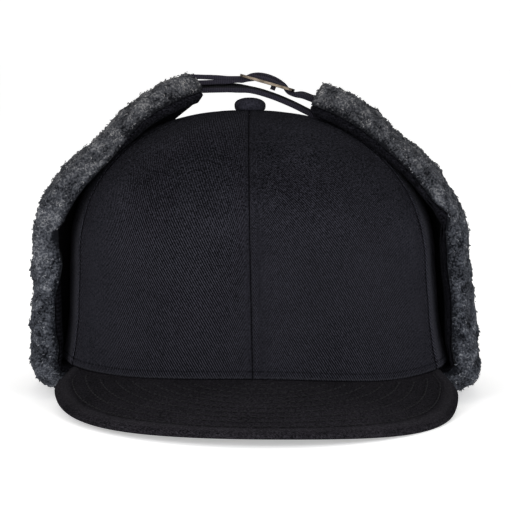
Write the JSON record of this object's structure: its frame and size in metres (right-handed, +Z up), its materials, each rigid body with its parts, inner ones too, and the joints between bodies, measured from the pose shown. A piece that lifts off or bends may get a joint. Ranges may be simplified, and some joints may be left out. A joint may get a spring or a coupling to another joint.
{
  "type": "earflap cap",
  "caption": "Panelled winter cap with a curved stitched visor and a top button; fleece-lined earflaps are turned up round the rim and tied over the crown by straps through a metal slide.",
  "frame": {"origin": "middle of the plan, on the surface that the cap rests on", "axes": "+Z up, visor towards -Y, the wearer's left towards +X; the cap rests on its visor and the fold of the flaps behind, as it would by itself"},
  "size_m": [0.2202, 0.287, 0.1547],
  "materials": {
    "cloth": "wool twill",
    "fleece": "curly pile",
    "webbing": "woven",
    "slide": "antique brushed"
  },
  "bodies": {
    "root": {"panel_front_left": "cloth", "panel_side_left": "cloth", "panel_back_left": "cloth", "panel_front_right": "cloth", "panel_side_right": "cloth", "panel_back_right": "cloth", "visor": "cloth", "top_button": "cloth", "flap_shell_left": "cloth", "flap_shell_right": "cloth", "flap_lining_left": "fleece", "flap_lining_right": "fleece", "strap_fixed": "webbing", "strap_running": "webbing", "strap_lower": "webbing", "strap_slide": "slide"}
  },
  "joints": []
}
